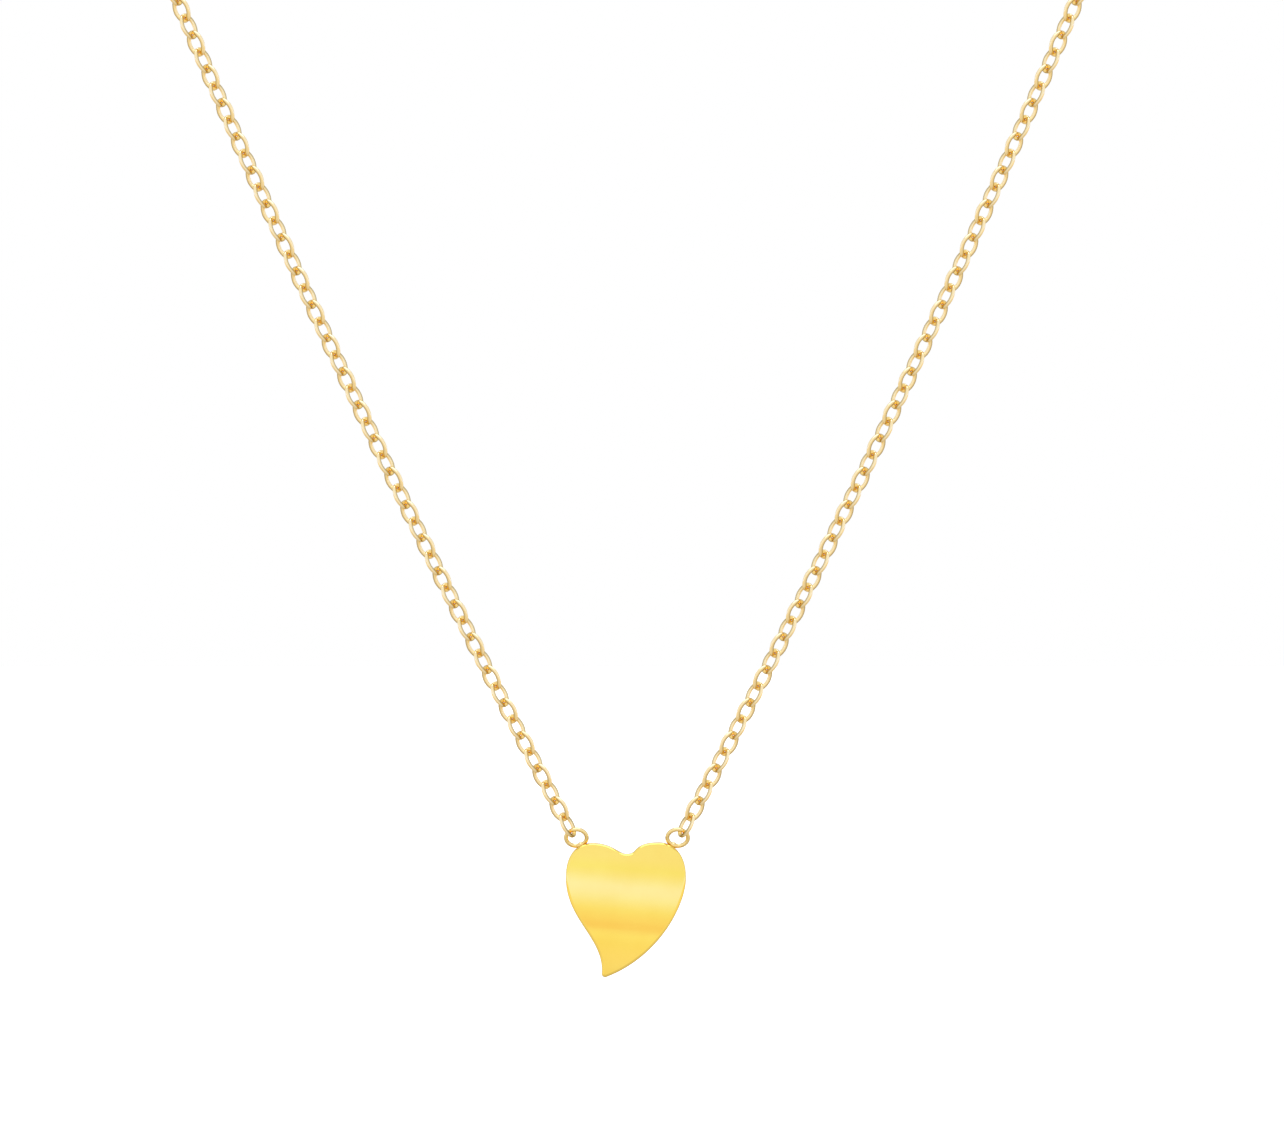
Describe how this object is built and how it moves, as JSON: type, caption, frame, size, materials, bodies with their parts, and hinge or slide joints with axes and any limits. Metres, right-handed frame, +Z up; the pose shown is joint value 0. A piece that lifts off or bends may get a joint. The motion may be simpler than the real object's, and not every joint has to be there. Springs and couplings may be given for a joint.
{
  "type": "pendant necklace",
  "caption": "Gold necklace: fine oval cable chain, small swept solid heart hung from two soldered rings, closed at the nape by a spring-ring clasp.",
  "frame": {"origin": "on the flat back face of the heart, midway between its two rings, level with its widest part", "axes": "+Z up as worn, +Y from the heart's face towards the wearer's chest and nape, +X towards the right seen from in front"},
  "size_m": [0.1036, 0.0852, 0.1395],
  "materials": {
    "chain_gold": "polished",
    "heart_gold": "polished",
    "ring_gold": "polished",
    "clasp_gold": "polished",
    "spring_steel": "drawn wire"
  },
  "bodies": {
    "neck": {"left_neck_chain_1": "chain_gold", "left_neck_chain_2": "chain_gold", "left_neck_chain_3": "chain_gold", "left_neck_chain_4": "chain_gold", "left_neck_chain_5": "chain_gold", "right_neck_chain_1": "chain_gold", "right_neck_chain_2": "chain_gold", "right_neck_chain_3": "chain_gold", "right_neck_chain_4": "chain_gold", "right_neck_chain_5": "chain_gold"},
    "left_front_01": {"left_chain_01": "chain_gold"},
    "left_front_02": {"left_chain_02": "chain_gold"},
    "left_front_03": {"left_chain_03": "chain_gold"},
    "left_front_04": {"left_chain_04": "chain_gold"},
    "left_front_05": {"left_chain_05": "chain_gold"},
    "left_front_06": {"left_chain_06": "chain_gold"},
    "left_front_07": {"left_chain_07": "chain_gold"},
    "left_front_08": {"left_chain_08": "chain_gold"},
    "left_front_09": {"left_chain_09": "chain_gold"},
    "left_front_10": {"left_chain_10": "chain_gold"},
    "left_front_11": {"left_chain_11": "chain_gold"},
    "left_front_12": {"left_chain_12": "chain_gold"},
    "right_front_01": {"right_chain_01": "chain_gold"},
    "right_front_02": {"right_chain_02": "chain_gold"},
    "right_front_03": {"right_chain_03": "chain_gold"},
    "right_front_04": {"right_chain_04": "chain_gold"},
    "right_front_05": {"right_chain_05": "chain_gold"},
    "right_front_06": {"right_chain_06": "chain_gold"},
    "right_front_07": {"right_chain_07": "chain_gold"},
    "right_front_08": {"right_chain_08": "chain_gold"},
    "right_front_09": {"right_chain_09": "chain_gold"},
    "right_front_10": {"right_chain_10": "chain_gold"},
    "right_front_11": {"right_chain_11": "chain_gold"},
    "right_front_12": {"right_chain_12": "chain_gold"},
    "pendant": {"heart_plate": "heart_gold", "left_heart_ring": "ring_gold", "right_heart_ring": "ring_gold"},
    "clasp": {"clasp_case": "clasp_gold", "clasp_eye": "clasp_gold", "latch_spring": "spring_steel"},
    "left_jump_ring": {"jump_ring": "ring_gold"},
    "right_end_ring": {"end_ring": "ring_gold"},
    "latch": {"latch_tongue": "clasp_gold", "latch_nub": "clasp_gold"}
  },
  "joints": [
    {"name": "left_chain_01_swing", "type": "hinge", "parent": "neck", "child": "left_front_01", "pos_m": [-0.04446, -0.00105, 0.09226], "axis": [1, 0, 0], "range_deg": [-20, 20]},
    {"name": "right_chain_01_swing", "type": "hinge", "parent": "neck", "child": "right_front_01", "pos_m": [0.04446, -0.00105, 0.09226], "axis": [1, 0, 0], "range_deg": [-20, 20]},
    {"name": "left_chain_02_swing", "type": "hinge", "parent": "left_front_01", "child": "left_front_02", "pos_m": [-0.04145, -0.00105, 0.08467], "axis": [1, 0, 0], "range_deg": [-20, 20]},
    {"name": "right_chain_02_swing", "type": "hinge", "parent": "right_front_01", "child": "right_front_02", "pos_m": [0.04145, -0.00105, 0.08467], "axis": [1, 0, 0], "range_deg": [-20, 20]},
    {"name": "left_chain_03_swing", "type": "hinge", "parent": "left_front_02", "child": "left_front_03", "pos_m": [-0.0384, -0.00105, 0.07711], "axis": [1, 0, 0], "range_deg": [-20, 20]},
    {"name": "right_chain_03_swing", "type": "hinge", "parent": "right_front_02", "child": "right_front_03", "pos_m": [0.0384, -0.00105, 0.07711], "axis": [1, 0, 0], "range_deg": [-20, 20]},
    {"name": "left_chain_04_swing", "type": "hinge", "parent": "left_front_03", "child": "left_front_04", "pos_m": [-0.03528, -0.00105, 0.06957], "axis": [1, 0, 0], "range_deg": [-20, 20]},
    {"name": "right_chain_04_swing", "type": "hinge", "parent": "right_front_03", "child": "right_front_04", "pos_m": [0.03528, -0.00105, 0.06957], "axis": [1, 0, 0], "range_deg": [-20, 20]},
    {"name": "left_chain_05_swing", "type": "hinge", "parent": "left_front_04", "child": "left_front_05", "pos_m": [-0.03209, -0.00105, 0.06205], "axis": [1, 0, 0], "range_deg": [-20, 20]},
    {"name": "right_chain_05_swing", "type": "hinge", "parent": "right_front_04", "child": "right_front_05", "pos_m": [0.03209, -0.00105, 0.06205], "axis": [1, 0, 0], "range_deg": [-20, 20]},
    {"name": "left_chain_06_swing", "type": "hinge", "parent": "left_front_05", "child": "left_front_06", "pos_m": [-0.02885, -0.00105, 0.05457], "axis": [1, 0, 0], "range_deg": [-20, 20]},
    {"name": "right_chain_06_swing", "type": "hinge", "parent": "right_front_05", "child": "right_front_06", "pos_m": [0.02885, -0.00105, 0.05457], "axis": [1, 0, 0], "range_deg": [-20, 20]},
    {"name": "left_chain_07_swing", "type": "hinge", "parent": "left_front_06", "child": "left_front_07", "pos_m": [-0.02553, -0.00105, 0.04711], "axis": [1, 0, 0], "range_deg": [-20, 20]},
    {"name": "right_chain_07_swing", "type": "hinge", "parent": "right_front_06", "child": "right_front_07", "pos_m": [0.02553, -0.00105, 0.04711], "axis": [1, 0, 0], "range_deg": [-20, 20]},
    {"name": "left_chain_08_swing", "type": "hinge", "parent": "left_front_07", "child": "left_front_08", "pos_m": [-0.02214, -0.00105, 0.03969], "axis": [1, 0, 0], "range_deg": [-20, 20]},
    {"name": "right_chain_08_swing", "type": "hinge", "parent": "right_front_07", "child": "right_front_08", "pos_m": [0.02214, -0.00105, 0.03969], "axis": [1, 0, 0], "range_deg": [-20, 20]},
    {"name": "left_chain_09_swing", "type": "hinge", "parent": "left_front_08", "child": "left_front_09", "pos_m": [-0.01869, -0.00105, 0.03229], "axis": [1, 0, 0], "range_deg": [-20, 20]},
    {"name": "right_chain_09_swing", "type": "hinge", "parent": "right_front_08", "child": "right_front_09", "pos_m": [0.01869, -0.00105, 0.03229], "axis": [1, 0, 0], "range_deg": [-20, 20]},
    {"name": "left_chain_10_swing", "type": "hinge", "parent": "left_front_09", "child": "left_front_10", "pos_m": [-0.01515, -0.00105, 0.02494], "axis": [1, 0, 0], "range_deg": [-20, 20]},
    {"name": "right_chain_10_swing", "type": "hinge", "parent": "right_front_09", "child": "right_front_10", "pos_m": [0.01515, -0.00105, 0.02494], "axis": [1, 0, 0], "range_deg": [-20, 20]},
    {"name": "left_chain_11_swing", "type": "hinge", "parent": "left_front_10", "child": "left_front_11", "pos_m": [-0.01154, -0.00105, 0.01762], "axis": [1, 0, 0], "range_deg": [-20, 20]},
    {"name": "right_chain_11_swing", "type": "hinge", "parent": "right_front_10", "child": "right_front_11", "pos_m": [0.01154, -0.00105, 0.01762], "axis": [1, 0, 0], "range_deg": [-20, 20]},
    {"name": "left_chain_12_swing", "type": "hinge", "parent": "left_front_11", "child": "left_front_12", "pos_m": [-0.00784, -0.00105, 0.01035], "axis": [1, 0, 0], "range_deg": [-20, 20]},
    {"name": "right_chain_12_swing", "type": "hinge", "parent": "right_front_11", "child": "right_front_12", "pos_m": [0.00784, -0.00105, 0.01035], "axis": [1, 0, 0], "range_deg": [-20, 20]},
    {"name": "pendant_swing", "type": "hinge", "parent": "left_front_12", "child": "pendant", "pos_m": [-0.00407, -0.00105, 0.00313], "axis": [1, 0, 0], "range_deg": [-28, 38]},
    {"name": "clasp_turn", "type": "hinge", "parent": "neck", "child": "clasp", "pos_m": [0.00082, 0.0822, 0.129], "axis": [1, 0, 0], "range_deg": [-50, 50]},
    {"name": "jump_ring_turn", "type": "hinge", "parent": "neck", "child": "left_jump_ring", "pos_m": [-0.0034, 0.0822, 0.129], "axis": [1, 0, 0], "range_deg": [-25, 25]},
    {"name": "end_ring_turn", "type": "hinge", "parent": "neck", "child": "right_end_ring", "pos_m": [0.0034, 0.0822, 0.129], "axis": [1, 0, 0], "range_deg": [-25, 25]},
    {"name": "clasp_latch", "type": "hinge", "parent": "clasp", "child": "latch", "pos_m": [0.00082, 0.0822, 0.129], "axis": [0, -1, 0], "range_deg": [0, 50], "stiffness_Nm_per_rad": 0.0006, "springref_deg": -20.05, "deforming": ["latch_spring"]}
  ],
  "couplings": [
    {"joint": "right_chain_01_swing", "follows": "left_chain_01_swing", "ratio": 1},
    {"joint": "right_chain_02_swing", "follows": "left_chain_02_swing", "ratio": 1},
    {"joint": "right_chain_03_swing", "follows": "left_chain_03_swing", "ratio": 1},
    {"joint": "right_chain_04_swing", "follows": "left_chain_04_swing", "ratio": 1},
    {"joint": "right_chain_05_swing", "follows": "left_chain_05_swing", "ratio": 1},
    {"joint": "right_chain_06_swing", "follows": "left_chain_06_swing", "ratio": 1},
    {"joint": "right_chain_07_swing", "follows": "left_chain_07_swing", "ratio": 1},
    {"joint": "right_chain_08_swing", "follows": "left_chain_08_swing", "ratio": 1},
    {"joint": "right_chain_09_swing", "follows": "left_chain_09_swing", "ratio": 1},
    {"joint": "right_chain_10_swing", "follows": "left_chain_10_swing", "ratio": 1},
    {"joint": "right_chain_11_swing", "follows": "left_chain_11_swing", "ratio": 1},
    {"joint": "right_chain_12_swing", "follows": "left_chain_12_swing", "ratio": 1},
    {"joint": "jump_ring_turn", "follows": "clasp_turn", "ratio": 0.5},
    {"joint": "end_ring_turn", "follows": "clasp_turn", "ratio": 0.5}
  ]
}
